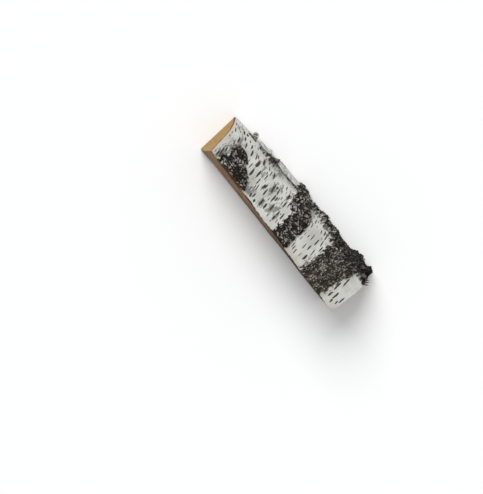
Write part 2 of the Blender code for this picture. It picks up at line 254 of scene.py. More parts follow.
def coated(tree, base, coats):
    """A base colour with other colours laid over it one by one.

    Each coat is the socket it follows and its colour, then the two values between which it spreads and
    how much it covers at each of the two. Where these are left out they are 0, 1, 0 and 1.
    """
    for source, colour, *limits in coats:
        cover = add_node(tree, "MapRange", dict(enumerate((source, *limits))))
        base, colour = (linear(tint) if isinstance(tint, str) else tint for tint in (base, colour))
        base = add_node(tree, "Mix", {0: cover, 6: base, 7: colour}, data_type="RGBA")
    return base


def surfaced(tree, colour, roughness, height, strength, depth, gloss=0.5):
    """Gives the shader its colour, roughness and gloss, and a bump of a strength and a depth in metres."""
    bump = add_node(tree, "Bump", {"Strength": strength, "Distance": depth, "Height": height})
    surface = {"Base Color": colour, "Roughness": roughness, "Specular IOR Level": gloss, "Normal": bump}
    feed(tree, tree.nodes["Principled BSDF"], surface)


def split_birch():
    """Dry birch torn along the grain: grey brown and matt, with long fibres and darker streaks."""
    finish, tree, outward = new_finish("split_birch", "outward")
    place = add_node(tree, "TexCoord", output="Object")
    along = add_node(tree, "SeparateXYZ", {0: place})
    # Fibres 90 mm long and 2.5 mm wide, with finer ones of 30 mm by 0.7 mm over them
    long_grain = add_node(tree, "Mapping", {0: place, 3: (11.0, 400.0, 400.0)})
    fibres = add_node(tree, "TexNoise", {"Vector": long_grain, "Scale": 1.0, "Detail": 4.0})
    fine_grain = add_node(tree, "Mapping", {0: place, 3: (34.0, 1400.0, 1400.0)})
    threads = add_node(tree, "TexNoise", {"Vector": fine_grain, "Scale": 1.0, "Detail": 2.0})
    broad = add_node(tree, "TexNoise", {"Vector": place, "Scale": 22.0, "Detail": 3.0})
    wood = coated(tree, "#98795A", (
        (fibres, "#75573B", 0.35, 0.66), (broad, "#664D38", 0.45, 0.70, 0.0, 0.5),
        (threads, "#402C1C", 0.58, 0.74, 0.0, 0.65),
        # The last millimetres under the bark are redder, and the pith edge is darker
        (outward, "#482A17", 0.945, 0.985, 0.0, 0.85), (outward, "#5E452D", 0.0, 0.09, 0.5, 0.0),
        # Painted shade: the butt half is darker, standing in for the shade that the torn face lies in there
        (along, "#35271A", -0.07, 0.08, 0.0, 0.85),
    ))
    height = add_node(tree, "Math", {0: fibres, 1: threads}, operation="ADD")
    surfaced(tree, wood, roughness=0.78, height=height, strength=0.7, depth=0.0005)
    return finish


def sawn_birch():
    """Birch cut across the grain: golden and a little furry, with faint rings and the saw's scores."""
    finish, tree, outward = new_finish("sawn_birch", "outward")
    place = add_node(tree, "TexCoord", output="Object")
    across = add_node(tree, "Mapping", {0: place, 1: (0.0, -PITH_Y, 0.0), 3: (0.0, 1.0, 1.0)})
    broad = add_node(tree, "TexNoise", {"Vector": across, "Scale": 55.0, "Detail": 2.0})
    # Year rings, pushed about by up to 2 mm
    radius = add_node(tree, "VectorMath", {0: across}, operation="LENGTH")
    pushed = add_node(tree, "Math", {0: broad, 1: 0.004, 2: radius}, operation="MULTIPLY_ADD")
    phase = add_node(tree, "Math", {0: pushed, 1: 2.0 * math.pi / RING_SPACING}, operation="MULTIPLY")
    rings = add_node(tree, "Math", {0: phase}, operation="SINE")
    # Scores of the saw's teeth, about a millimetre apart, slanting across the end
    slanted = add_node(
        tree, "Mapping", {0: across, 2: (math.radians(35.0), 0.0, 0.0), 3: (0.0, 60.0, 900.0)})
    scores = add_node(tree, "TexNoise", {"Vector": slanted, "Scale": 1.0, "Detail": 3.0})
    pores = add_node(tree, "TexNoise", {"Vector": across, "Scale": 1300.0, "Detail": 2.0})
    wood = coated(tree, "#9E804C", (
        (rings, "#826136", 0.2, 1.0, 0.0, 0.45), (broad, "#95703B", 0.42, 0.68, 0.0, 0.6),
        (scores, "#73562C", 0.52, 0.72, 0.0, 0.5), (pores, "#624724", 0.58, 0.75, 0.0, 0.35),
        (outward, "#3C2510", 0.945, 0.970, 0.0, 0.9),
    ))
    height = add_node(tree, "Math", {0: scores, 1: pores}, operation="ADD")
    surfaced(tree, wood, roughness=0.82, height=height, strength=0.5, depth=0.0003)
    return finish


wood_share = np.linspace(0.0, 1.0, WOOD_STATIONS)[:, None]
across_face = np.linspace(0.0, 1.0, FACE_STEPS + 1)[None, :]
wood_turn = np.linspace(0.0, 1.0, ARC_STEPS + 1)[None, :] * upright_turn(wood_share)
under_bark = on_billet(wood_share, wood_turn, wood_radius(wood_share, wood_turn))
floor_points = floor_face(wood_share, across_face)[:, :-1]
upright_points = upright_face(wood_share, across_face)[:, -2:0:-1]
wood_ring = np.concatenate([floor_points, under_bark, upright_points], axis=1)
outward_ring = np.concatenate([across_face[0, :-1], np.ones(ARC_STEPS + 1), across_face[0, -2:0:-1]])
wood_parts = [(wood_ring, np.broadcast_to(outward_ring, wood_ring.shape[:2])), sawn_end(0.0), sawn_end(1.0)]
ring_points, end_points = wood_ring.shape[0] * wood_ring.shape[1], (FACE_STEPS + 1) * (ARC_STEPS + 1)
end_faces = grid_faces(FACE_STEPS + 1, ARC_STEPS + 1)
wood_faces = [
    grid_faces(WOOD_STATIONS, wood_ring.shape[1], closed=True),
    end_faces + ring_points, end_faces + ring_points + end_points,
]
billet_wood = add_piece(
    "billet_wood", np.concatenate([points.reshape(-1, 3) for points, outward in wood_parts]),
    np.concatenate(wood_faces), [split_birch(), sawn_birch()],
    np.repeat([0, 1, 1], [len(faces) for faces in wood_faces]),
    outward=np.concatenate([outward.ravel() for points, outward in wood_parts]),
)
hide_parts("wood")


# Torn fibres: slivers of birch that the split left hanging on the upright face, each still joined to
# the wood at one end, lying along the grain with its free end standing a millimetre or two clear.
FIBRE_COUNT = 26
FIBRE_ROWS = 9
FIBRE_COLUMNS = 3
FIBRE_THICKNESS = 0.0005


def curled_sheets(root, along, out, heading, length, width, curl_radius, taper, sag, rows, columns):
    """Small sheets, each an arc that leaves its root along its heading and curls outwards.

    Part of the way along, an arc of the curl radius gives the run and the rise, the width narrows by the
    taper times the square of that part, and the sides sag by a share of the width.
    """
    root, along, out = (np.asarray(value)[:, None, None, :] for value in (root, along, out))
    sized = (np.radians(heading), length, width, curl_radius)
    heading, length, width, curl_radius = (np.asarray(value)[:, None, None, None] for value in sized)
    part = np.linspace(0.0, 1.0, rows)[:, None, None]
    side = np.linspace(-1.0, 1.0, columns)[:, None]
    forward = along * np.cos(heading) + np.cross(out, along) * np.sin(heading)
    bend = part * length / curl_radius
    run, rise = curl_radius * np.sin(bend), curl_radius * (1.0 - np.cos(bend))
    half_width = 0.5 * width * (1.0 - taper * part**2)
    sideways = np.cross(out, forward) * half_width * side
    return root + forward * run + sideways + out * (rise - sag * width * side**2)


def shells(sheets, thickness, thin_rim=1.0):
    """Closed shells about many sheets, half the thickness to each side along their normals.

    Gives the points, the faces, and a mark that is 1 on the outer side and 0 on the inner. The rim's
    thickness is the share thin_rim of the rest.
    """
    count, rows, columns = sheets.shape[:3]
    normal = np.cross(np.gradient(sheets, axis=1), np.gradient(sheets, axis=2))
    normal = normal / np.maximum(np.linalg.norm(normal, axis=-1, keepdims=True), 1e-12)
    rim = np.ones((rows, columns))
    rim[[0, -1], :] = rim[:, [0, -1]] = thin_rim
    half = 0.5 * thickness * rim[None, :, :, None]
    points = np.stack([sheets + normal * half, sheets - normal * half], axis=1)
    number = np.arange(rows * columns).reshape(rows, columns)
    border = np.concatenate([number[0, :-1], number[:-1, -1], number[-1, :0:-1], number[:0:-1, 0]])
    after = np.roll(border, -1)
    face = grid_faces(rows, columns)
    sides = np.stack([border, after, after + rows * columns, border + rows * columns], axis=-1)
    one = np.concatenate([face, face[:, ::-1] + rows * columns, sides[:, ::-1]])
    faces = (one[None] + np.arange(count)[:, None, None] * 2 * rows * columns).reshape(-1, 4)
    outer = np.broadcast_to(np.array([1.0, 0.0])[None, :, None], (count, 2, rows * columns))
    return points, faces, outer


fibre_draw = np.random.default_rng(5)
fibre_share = fibre_draw.uniform(0.04, 0.86, FIBRE_COUNT)
by_the_bark = np.arange(FIBRE_COUNT) % 3 == 0
fibre_up = fibre_draw.uniform(0.08, 0.90, FIBRE_COUNT)
fibre_up = np.where(by_the_bark, fibre_draw.uniform(0.90, 0.975, FIBRE_COUNT), fibre_up)
fibre_lean = np.radians(upright_turn(fibre_share))
fibre_out = np.stack([np.zeros(FIBRE_COUNT), -np.sin(fibre_lean), np.cos(fibre_lean)], axis=-1)
fibres = curled_sheets(
    upright_face(fibre_share, fibre_up) - 0.0004 * fibre_out, np.tile([1.0, 0.0, 0.0], (FIBRE_COUNT, 1)),
    fibre_out, fibre_draw.uniform(-3.0, 3.0, FIBRE_COUNT), fibre_draw.uniform(0.014, 0.038, FIBRE_COUNT),
    fibre_draw.uniform(0.0007, 0.0016, FIBRE_COUNT), fibre_draw.uniform(0.14, 0.30, FIBRE_COUNT),
    0.85, 0.10, FIBRE_ROWS, FIBRE_COLUMNS,
)
fibre_points, fibre_faces, fibre_outer = shells(fibres, FIBRE_THICKNESS)
torn_fibres = add_piece(
    "torn_fibres", fibre_points, fibre_faces, [split_birch()], outward=np.full(fibre_outer.shape, 0.5))


# The bark: a papery white skin about 2.5 mm thick that grew in one with the thick corky crust, which
# is black, cracked into small plates, and greyed on its crests. Its torn edges show the inner bark.
BARK_SKIN = 0.0024
BARK_GAP = 0.0003
TOP_CRUST = 0.0023
SIDE_CRUST = 0.0060
PLATE_LENGTH = 0.0125
PLATE_WIDTH = 0.0140
CHIP_SIZE = 0.0042
PALE_PLATE = (0.365, 10, 0.085, 9.5)
PALE_PLATE_LIFT = 0.0036
BLACK_PATCHES = (
    # Ovals: share and turn of the middle, half the length, half the width, and for two of them a slant
    (0.130, 79, 0.092, 10), (0.118, 64, 0.056, 14, 0.0012), (0.190, 71, 0.036, 11, 0.0045),
    (0.545, 70, 0.057, 32), (0.505, 36, 0.062, 18), (0.815, 72, 0.088, 42), (0.860, 27, 0.170, 17),
    (0.890, 48, 0.026, 9), (0.104, 16, 0.016, 2.2), (0.130, 18, 0.019, 2.6), (0.205, 22, 0.045, 4.5),
    (0.255, 24, 0.022, 6.5), (0.279, 16, 0.013, 6),
)
WORN_PLACES = (
    # An oval, then the share of the crust's depth that has worn off there
    ((0.195, 12, 0.120, 18), 0.80), ((0.816, 10, 0.090, 21), 0.95), ((0.575, 6, 0.080, 14), 0.70),
    ((0.700, 8, 0.055, 16), 0.50), ((0.955, 8, 0.045, 14), 0.50), ((1.000, 31, 0.050, 17), 0.90),
    ((0.120, 19.5, 0.070, 9), 1.00),
)
GREY_CLOUDS = (
    (0.345, 53, 0.020, 10), (0.404, 72, 0.026, 8), (0.422, 66, 0.024, 7), (0.208, 48, 0.012, 9),
    (0.230, 37, 0.012, 9), (0.308, 40, 0.012, 9), (0.429, 45, 0.014, 8), (0.040, 71, 0.028, 13),
    (0.070, 45, 0.018, 9), (0.255, 76, 0.045, 8), (0.668, 29, 0.026, 6), (0.325, 27, 0.024, 8),
    (0.305, 60, 0.010, 7), (0.350, 73, 0.016, 9), (0.740, 79, 0.030, 7), (0.446, 71, 0.014, 7),
    (0.060, 60, 0.030, 9), (0.026, 27, 0.010, 5), (0.048, 21, 0.016, 4), (0.246, 46, 0.010, 8),
    (0.375, 45, 0.012, 8), (0.262, 52, 0.008, 7), (0.240, 77, 0.018, 8), (0.036, 78, 0.024, 8),
)
BARK_STATIONS = 420
BARK_OUTER_STEPS = 180
INNER_STRIDE = 5
BARK_INNER_STEPS = BARK_OUTER_STEPS // INNER_STRIDE


def patch_depth(share, turn, patch):
    """1 in the middle of a patch, 0 on its edge, and negative outside it: an oval, a little boxy."""
    middle, middle_turn, half_length, half_width, *slant = patch
    along = np.abs(share - middle - sum(slant) * (turn - middle_turn)) / half_length
    return 1.0 - (along**3 + (np.abs(turn - middle_turn) / half_width) ** 3) ** (1.0 / 3.0)


def crust_depth(share, turn):
    """How far inside the black crust a place lies: 0 on its ragged border, negative on white bark."""
    side_edge = 22.0 + 12.0 * smooth(0.45, 0.95, share) - 45.0 * (1.0 - smooth(0.24, 0.40, share))
    depth = np.minimum((side_edge - turn) / 26.0, -1.3 * patch_depth(share, turn, PALE_PLATE))
    for patch in BLACK_PATCHES:
        depth = np.maximum(depth, patch_depth(share, turn, patch))
    return depth + 0.20 * noise(share * LENGTH / 0.016, turn / 9.0, 3)


def cells(u, v, seed):
    """Cracked ground: each point belongs to the nearest of scattered centres, one in each unit square.

    Gives how far inside its plate the point is, 0 on a crack, and the plate's own number from 0 to 1.
    """
    i, j = np.floor(u), np.floor(v)
    near = np.full(np.broadcast(u, v).shape, 9.0)
    after, own = near.copy(), np.zeros_like(near)
    for di in (-1, 0, 1):
        for dj in (-1, 0, 1):
            centre_u = i + di + 0.1 + 0.8 * drawn(i + di, j + dj, seed)
            centre_v = j + dj + 0.1 + 0.8 * drawn(i + di, j + dj, seed + 1)
            reach = np.hypot(u - centre_u, v - centre_v)
            after = np.minimum(after, np.maximum(near, reach))
            own = np.where(reach < near, drawn(i + di, j + dj, seed + 2), own)
            near = np.minimum(near, reach)
    return after - near, own


def cork_chips(share, turn):
    """The crust's chips, 4 by 6 mm and finer near the butt: their height, and how pale they are with painted
    shade.
    """
    along, around = share * LENGTH, np.radians(turn) * SLIM_RADIUS
    along = along + 0.70 * np.maximum(0.0, along - 0.70 * LENGTH)
    around = around * (1.0 + 0.30 * smooth(0.68, 0.76, share))
    u = (along + 0.0028 * noise(along / 0.007, around / 0.006, 51)) / (1.5 * CHIP_SIZE)
    v = (around + 0.0024 * noise(along / 0.007, around / 0.006, 52)) / (0.85 * CHIP_SIZE)
    inside, own = cells(u, v, 53)
    fine_inside, fine_own = cells(2.3 * u, 2.3 * v, 83)
    top = smooth(0.04, 0.46, inside)
    height = 0.0019 * (0.25 + 0.75 * own) * top + 0.0006 * fine_own * smooth(0.0, 0.5, fine_inside) - 0.0011
    weathered = 0.55 * noise(along / 0.016, around / 0.012, 46)
    weathered = weathered + 0.30 * noise(along / 0.007, around / 0.005, 48)
    paler = smooth(0.40, 0.86, own + 0.7 * (fine_own - 0.5) + weathered)
    # Painted shade: crests are darker low on the side, where the light grazes, and darker still over the butt
    # half's side
    shaded = 0.72 + 0.28 * smooth(18.0, 40.0, turn)
    shaded = shaded - 0.50 * smooth(0.70, 0.78, share) * smooth(56.0, 38.0, turn)
    crest = smooth(0.20, 0.90, top) * (0.08 + 0.92 * paler) * (0.35 + 0.65 * smooth(0.0, 0.3, fine_inside))
    return height, crest * shaded


def bark_thickness(share, turn):
    """Skin, the pale plate's lift, and crust, which has plates 13 mm across, chips on them and cracks."""
    along, around = share * LENGTH, np.radians(turn) * SLIM_RADIUS
    plates = 1.0 - 2.0 * np.abs(noise(along / PLATE_LENGTH, around / PLATE_WIDTH, 11))
    knobs = 0.5 * noise(2.1 * along / PLATE_LENGTH, 2.1 * around / PLATE_WIDTH, 12)
    depth = SIDE_CRUST + (TOP_CRUST - SIDE_CRUST) * smooth(24.0, 56.0, turn)
    for place, worn in WORN_PLACES:
        depth = depth * (1.0 - worn * smooth(0.0, 0.5, patch_depth(share, turn, place)))
    crust = depth * (1.0 + 0.65 * np.clip(plates + knobs, -0.7, 1.0)) + cork_chips(share, turn)[0]
    waves = 0.0005 * noise(along / 0.028, turn / 22.0, 5)
    waves = waves + 0.00012 * noise(along / 0.0019, around / 0.012, 56)
    plate = PALE_PLATE_LIFT * smooth(0.0, 0.18, patch_depth(share, turn, PALE_PLATE))
    borders = smooth(-0.03, 0.14, crust_depth(share, turn))
    skin = BARK_SKIN * (1.0 - 0.45 * smooth(0.22, 0.06, share) * smooth(34.0, 10.0, turn))
    return np.maximum(skin + waves + plate + borders * crust, 0.0009)


def bark_surface(share, turn, lift=0.0):
    """A point on the outside of the bark, or that far above it."""
    return on_billet(share, turn, wood_radius(share, turn) + BARK_GAP + bark_thickness(share, turn) + lift)


def grey_clouds(share, turn):
    """Smoky marks on the white skin, 1 in the middle of each cloud and broken up at the edges."""
    cloud = np.zeros(np.broadcast(share, turn).shape)
    for middle, middle_turn, half_length, half_width in GREY_CLOUDS:
        reach = np.sqrt(((share - middle) / half_length) ** 2 + ((turn - middle_turn) / half_width) ** 2)
        cloud = np.maximum(cloud, 1.15 - reach)
    broken = 0.75 * noise(share * LENGTH / 0.0026, turn / 5.0, 57)
    broken = broken + 0.45 * noise(share * LENGTH / 0.0012, turn / 3.0, 47)
    return smooth(0.22, 0.72, cloud + broken * (cloud > 0.0))


def birch_bark():
    """Papery white skin, satin and faintly streaked round the trunk, and black cork with grey crests."""
    finish, tree, *marks = new_finish("birch_bark", "crust", "crest", "torn", "cloud", "blush")
    crust, crest, torn, cloud, blush = marks
    place = add_node(tree, "Attribute", output="Vector", attribute_name="on_bark")
    # Broad tints 25 mm across, hair-thin streaks 0.7 mm by 7 mm round the trunk, and a millimetre's grain
    broad = add_node(tree, "TexNoise", {"Vector": place, "Scale": 40.0, "Detail": 3.0})
    round_trunk = add_node(tree, "Mapping", {0: place, 3: (1400.0, 140.0, 1.0)})
    streaks = add_node(tree, "TexNoise", {"Vector": round_trunk, "Scale": 1.0, "Detail": 3.0})
    grain = add_node(tree, "TexNoise", {"Vector": place, "Scale": 900.0, "Detail": 3.0})
    skin = coated(tree, "#C9C9C2", (
        (broad, "#B1B1A9", 0.38, 0.66), (streaks, "#868580", 0.54, 0.72, 0.0, 0.6),
        (blush, "#BBA794", 0.0, 1.0, 0.0, 0.6), (cloud, "#4C4A46", 0.0, 1.0, 0.0, 0.72),
    ))
    grey = coated(tree, "#BAB7B0", [(broad, "#8E867A", 0.38, 0.66)])
    # The crest mark is the chips' pale crests with painted shade over the low side and the butt half's side
    pitted = add_node(tree, "Math", {0: crest, 1: 0.35}, operation="MULTIPLY")
    cork = coated(tree, "#0A0807", (
        (grain, "#241E19", 0.42, 0.66), (blush, "#453A2E", 0.0, 1.0, 0.0, 0.6),
        (grain, grey, 0.34, 0.54, pitted, crest),
    ))
    # Through its thickness the torn edge goes from beige layers, or black cork, to reddish inner bark
    layered, roughness, gloss = (
        add_node(tree, "MapRange", {0: crust, 3: on_skin, 4: on_cork})
        for on_skin, on_cork in ((1.0, 0.25), (0.56, 0.90), (0.5, 0.08))
    )
    colour = coated(tree, skin, (
        (crust, cork), (torn, "#A6866C", 0.1, 0.4, 0.0, layered), (torn, "#3F2716", 0.55, 0.85),
    ))
    height = add_node(tree, "Mix", {0: crust, 2: streaks, 3: grain})
    surfaced(tree, colour, roughness, height, strength=0.55, depth=0.0004, gloss=gloss)
    return finish


bark_share = np.linspace(0.0, 1.0, BARK_STATIONS)[:, None]
floor_edge = 1.0 + 0.8 * np.abs(noise(bark_share * 13.0, 0.5, 41))
floor_edge = floor_edge + 0.4 * np.abs(noise(bark_share * 70.0, 0.5, 43))
# At the slim end the outer layers broke off a millimetre or two short of the dark inner bark, and in
# the butt half the bark tore off past the wood and hangs over the split face
bared = 1.5 * smooth(0.36, 0.24, bark_share)
split_edge = upright_turn(bark_share) - 0.6 + 1.5 * smooth(0.42, 0.62, bark_share) - bared
split_edge = split_edge + 0.9 * noise(bark_share * 11.0, 0.5, 42) + 0.45 * noise(bark_share * 75.0, 0.5, 44)
outer_turn = floor_edge + (split_edge - floor_edge) * np.linspace(0.0, 1.0, BARK_OUTER_STEPS + 1)[None, :]
inner_edge = split_edge + bared
inner_turn = inner_edge + (floor_edge - inner_edge) * np.linspace(0.0, 1.0, BARK_INNER_STEPS + 1)[None, :]
inner_radius = wood_radius(bark_share, inner_turn) + BARK_GAP


def torn_edge(edge_turn, inward):
    """Two points down the bark's broken edge, which leans by about the degrees inward on its way down."""
    inside = wood_radius(bark_share, edge_turn) + BARK_GAP
    thickness = bark_thickness(bark_share, edge_turn)
    ragged = inward * (1.0 + 0.6 * noise(bark_share * 90.0, 1.5, 45))
    high = on_billet(bark_share, edge_turn + 0.25 * inward, inside + thickness - 0.0005)
    return high, on_billet(bark_share, edge_turn + ragged, inside + 0.45 * thickness)


split_high, split_low = torn_edge(split_edge, 1.35 * bared - 1.0)
floor_high, floor_low = torn_edge(floor_edge, 0.5)
bark_ring = np.concatenate([
    bark_surface(bark_share, outer_turn), split_high, split_low,
    on_billet(bark_share, inner_turn, inner_radius), floor_low, floor_high,
], axis=1)
ring_size = bark_ring.shape[1]


def bark_marks(share, turn):
    """What colours the outside: crust, its pale crests with painted shade, grey clouds, and a blush that is
    brown on crust.
    """
    along, around = share * LENGTH, np.radians(turn) * SLIM_RADIUS
    fingers = 0.16 * noise(along / 0.0036, around / 0.0062, 58)
    fingers = fingers + 0.10 * noise(along / 0.0017, around / 0.0030, 59)
    crust = smooth(-0.03, 0.05, crust_depth(share, turn) + fingers)
    from_split = upright_turn(share) - turn
    edge = smooth(5.0, 0.5, from_split) + 1.5 * smooth(0.026, 0.002, share)
    edge = edge + smooth(26.0, 2.0, from_split) * smooth(0.54, 0.62, share) * smooth(0.82, 0.74, share)
    blush = smooth(0.40, 1.5, 0.8 * edge + 0.5 * noise(along / 0.012, around / 0.012, 67))
    russet = 0.70 * smooth(30.0, 66.0, turn) + 0.45 * smooth(14.0, 3.0, from_split)
    russet = smooth(0.70, 0.80, share) * russet * (0.75 + 0.5 * noise(along / 0.010, around / 0.010, 68))
    blush = blush + (np.clip(russet, 0.0, 1.0) - blush) * crust
    return crust, cork_chips(share, turn)[1], grey_clouds(share, turn), blush


bark_colours = [
    np.concatenate([mark, mark[:, [-1, -1]], mark[:, ::-INNER_STRIDE], mark[:, [0, 0]]], axis=1)
    for mark in bark_marks(bark_share, outer_turn)
]
torn_ring = np.concatenate([
    np.zeros(BARK_OUTER_STEPS + 1), [0.3, 0.7], np.ones(BARK_INNER_STEPS + 1), [0.7, 0.3],
])
ring_turn = np.concatenate([outer_turn, split_edge, split_edge, inner_turn, floor_edge, floor_edge], axis=1)
ring_height = np.linalg.norm(bark_ring[..., 1:] - np.array([PITH_Y, 0.0]), axis=-1)
on_bark = np.stack([bark_ring[..., 0], np.radians(ring_turn) * SLIM_RADIUS, ring_height], axis=-1)


def bark_end(station, first_layer):
    """The sawn end of the bark: a strip of quads under the skin, then a fan of narrow faces to the wood."""
    start, steps = station * ring_size, INNER_STRIDE
    outer = start + np.arange(BARK_OUTER_STEPS + 1)
    layer = first_layer + np.arange(BARK_OUTER_STEPS + 1)
    inner = outer[-1] + 3 + np.arange(BARK_INNER_STEPS + 1)[::-1]
    faces = np.stack([outer[:-1], outer[1:], layer[1:], layer[:-1]], axis=-1).tolist()
    faces += [
        [*layer[steps * k:steps * k + steps + 1], inner[k + 1], inner[k]] for k in range(BARK_INNER_STEPS)
    ]
    faces.append([outer[-1], outer[-1] + 1, outer[-1] + 2, inner[-1], layer[-1]])
    faces.append([inner[0], inner[0] + 1, inner[0] + 2, outer[0], layer[0]])
    return faces


bark_points = [bark_ring.reshape(-1, 3)]
bark_faces = grid_faces(BARK_STATIONS, ring_size, closed=True).tolist()
next_layer = BARK_STATIONS * ring_size
for station in (0, BARK_STATIONS - 1):
    bark_points.append(bark_surface(bark_share[station], outer_turn[station], -0.0007))
    bark_faces += bark_end(station, next_layer)
    next_layer += BARK_OUTER_STEPS + 1
layer_place, *layer_marks = (
    np.concatenate([mark[station, :BARK_OUTER_STEPS + 1] for station in (0, -1)])
    for mark in (on_bark, *bark_colours)
)
skin_marks = [np.append(mark, at_ends) for mark, at_ends in zip(bark_colours, layer_marks)]
billet_bark = add_piece(
    "billet_bark", np.concatenate(bark_points), bark_faces, [birch_bark()],
    **dict(zip(("crust", "crest", "cloud", "blush"), skin_marks)),
    torn=np.append(np.broadcast_to(torn_ring, bark_ring.shape[:2]), np.full(len(layer_place), 0.45)),
    on_bark=np.concatenate([on_bark.reshape(-1, 3), layer_place]),
)
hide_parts("bark")


# The lenticels: corky slits through which the trunk breathed, lying round it, dark and a little proud.
# The long ones are placed as they grew, and fine short ones are strewn over the white bark between.
LENTICELS = (
    # Share, turn, length in mm and width in mm
    (0.020, 39, 10, 2.4), (0.036, 29, 9, 1.2), (0.012, 26, 8, 2.2), (0.068, 27, 11, 3.6),
    (0.088, 25, 8, 4.0), (0.086, 36, 9, 3.6), (0.116, 31, 8, 2.4), (0.060, 46, 11, 2.8),
    (0.106, 43, 11, 2.8), (0.136, 37, 11, 2.6), (0.152, 44, 14, 2.8), (0.180, 42, 13, 2.4),
    (0.190, 40, 7, 2.4), (0.208, 48, 14, 4.6), (0.228, 38, 12, 4.2), (0.186, 56, 10, 1.6),
    (0.212, 60, 12, 3.4), (0.242, 55, 15, 3.1), (0.168, 29, 9, 1.6), (0.268, 38, 10, 2.0),
    (0.288, 42, 12, 2.0), (0.308, 40, 12, 3.8), (0.280, 51, 10, 2.0), (0.266, 61, 12, 1.8),
    (0.274, 68, 7, 1.4), (0.284, 67, 12, 1.7), (0.304, 60, 9, 3.4), (0.312, 58, 7, 2.2),
    (0.344, 53, 14, 3.4), (0.356, 49, 6, 2.4), (0.372, 50, 13, 1.7), (0.396, 37, 9, 2.0),
    (0.428, 45, 11, 4.2), (0.328, 63, 12, 2.4), (0.378, 60, 13, 2.8), (0.390, 58, 8, 2.4),
    (0.398, 56, 6, 1.3), (0.406, 53, 6, 1.3), (0.350, 74, 13, 3.4), (0.376, 73, 10, 3.4),
    (0.404, 68, 14, 3.0), (0.438, 55, 12, 2.4), (0.454, 52, 9, 1.6), (0.446, 67, 8, 2.4),
    (0.470, 66, 11, 2.4), (0.446, 74, 8, 3.0), (0.288, 78, 7, 2.6), (0.300, 75, 8, 2.4),
    (0.028, 76, 9, 2.8), (0.036, 70, 9, 2.6), (0.046, 66, 8, 2.4), (0.047, 75, 8, 2.4),
    (0.320, 79, 5, 3.2), (0.612, 36, 12, 1.8), (0.606, 46, 10, 1.6), (0.662, 41, 9, 1.7),
    (0.682, 38, 11, 2.3), (0.698, 42, 11, 2.5), (0.648, 55, 11, 1.6), (0.680, 55, 12, 2.4),
    (0.702, 51, 11, 1.7), (0.674, 65, 10, 2.4), (0.704, 65, 11, 1.7), (0.696, 75, 10, 3.2),
    (0.652, 68, 9, 1.5), (0.718, 56, 9, 2.2), (0.610, 76, 9, 1.6), (0.640, 79, 8, 1.8),
    (0.623, 78, 8, 1.6), (0.928, 57, 15, 2.6), (0.914, 67, 13, 3.0), (0.946, 75, 12, 3.0),
    (0.952, 82, 6, 2.8), (0.976, 79, 6, 2.2), (0.984, 73, 11, 2.2), (0.922, 78, 9, 2.8),
)
FINE_DRAWS = 900
LENTICEL_CORNERS = 16
LENTICEL_RINGS = (0.0, 0.45, 0.78, 1.0)


def fine_lenticels():
    """Short thin slits drawn over the white bark, clear of the long ones and thicker by the crust."""
    draw = random.Random(23)
    kept = []
    for _ in range(FINE_DRAWS):
        share, turn = draw.uniform(0.012, 0.988), draw.uniform(5.0, 84.0)
        length, width, chance = draw.uniform(2.6, 8.0), draw.uniform(0.8, 1.7), draw.random()
        depth = float(crust_depth(share, turn))
        wanted = 0.9 if -0.16 < depth < 0.02 else 0.40
        wanted = 0.0 if share > 0.91 else wanted
        clear = turn + 0.4 * length < upright_turn(share) - 2.0 and all(
            math.hypot((share - other[0]) * LENGTH / 0.0034, (turn - other[1]) / (0.45 * (other[2] + length)))
            > 1.0 for other in (*LENTICELS, *kept)
        )
        if depth < 0.02 and clear and chance < wanted:
            kept.append((share, turn, length, width))
    return kept


def corky_lenticel():
    """Cork of a lenticel: dark brown grey, matt and crumbly, paler where it thins out at its ends."""
    finish, tree, middle, faint = new_finish("corky_lenticel", "middle", "faint")
    place = add_node(tree, "TexCoord", output="Object")
    crumbs = add_node(tree, "TexNoise", {"Vector": place, "Scale": 1100.0, "Detail": 2.0})
    cork = coated(tree, "#1F1C19", (
        (crumbs, "#4B463F", 0.40, 0.64), (middle, "#7B766D", 0.0, 0.35, 0.55, 0.0), (faint, "#8A867E"),
    ))
    surfaced(tree, cork, roughness=0.92, height=crumbs, strength=0.6, depth=0.0003)
    return finish


slits = np.array([*LENTICELS, *fine_lenticels()])
slit_count = len(slits)
slit_draw = np.random.default_rng(31)
corner = np.linspace(0.0, 2.0 * math.pi, LENTICEL_CORNERS, endpoint=False)[None, :]
frayed = 1.0 + 0.22 * slit_draw.uniform(-1.0, 1.0, (slit_count, LENTICEL_CORNERS))
half_long = 0.00053 * slits[:, 2:3] * np.sign(np.cos(corner)) * np.abs(np.cos(corner)) ** 0.75 * frayed
half_wide = 0.00058 * slits[:, 3:4] * np.sin(corner) * frayed
bowed = 0.00025 * slit_draw.uniform(-1.0, 1.0, (slit_count, 1)) * (1.0 - 2.0 * np.cos(corner) ** 2)
tilt = slit_draw.uniform(0.04, 0.24, (slit_count, 1))
ring_reach = np.array(LENTICEL_RINGS)[None, :, None]
slit_along = (half_wide + tilt * half_long + bowed)[:, None, :] * ring_reach
slit_share = slits[:, 0][:, None, None] + slit_along / LENGTH
slit_turn = slits[:, 1][:, None, None] + np.degrees(half_long[:, None, :] * ring_reach / SLIM_RADIUS)
proud = np.minimum(0.0006, 0.00022 * slits[:, 3])[:, None, None]
crumbly = slit_draw.uniform(0.6, 1.0, slit_share.shape)
crumbly[:, 0] = crumbly[:, 0, :1]
slit_lift = proud * (1.0 - ring_reach**2) ** 0.5 + 0.00008 - 0.00025 * smooth(0.75, 1.0, ring_reach)
slit_points = np.concatenate([
    bark_surface(slit_share, slit_turn, slit_lift * crumbly),
    bark_surface(slit_share[:, [-1, 0]], slit_turn[:, [-1, 0]], -0.0011),
], axis=1)
slit_rings = slit_points.shape[1]
slit_faces = grid_faces(slit_rings, LENTICEL_CORNERS, closed=True)
slit_faces = slit_faces[None] + np.arange(slit_count)[:, None, None] * slit_rings * LENTICEL_CORNERS
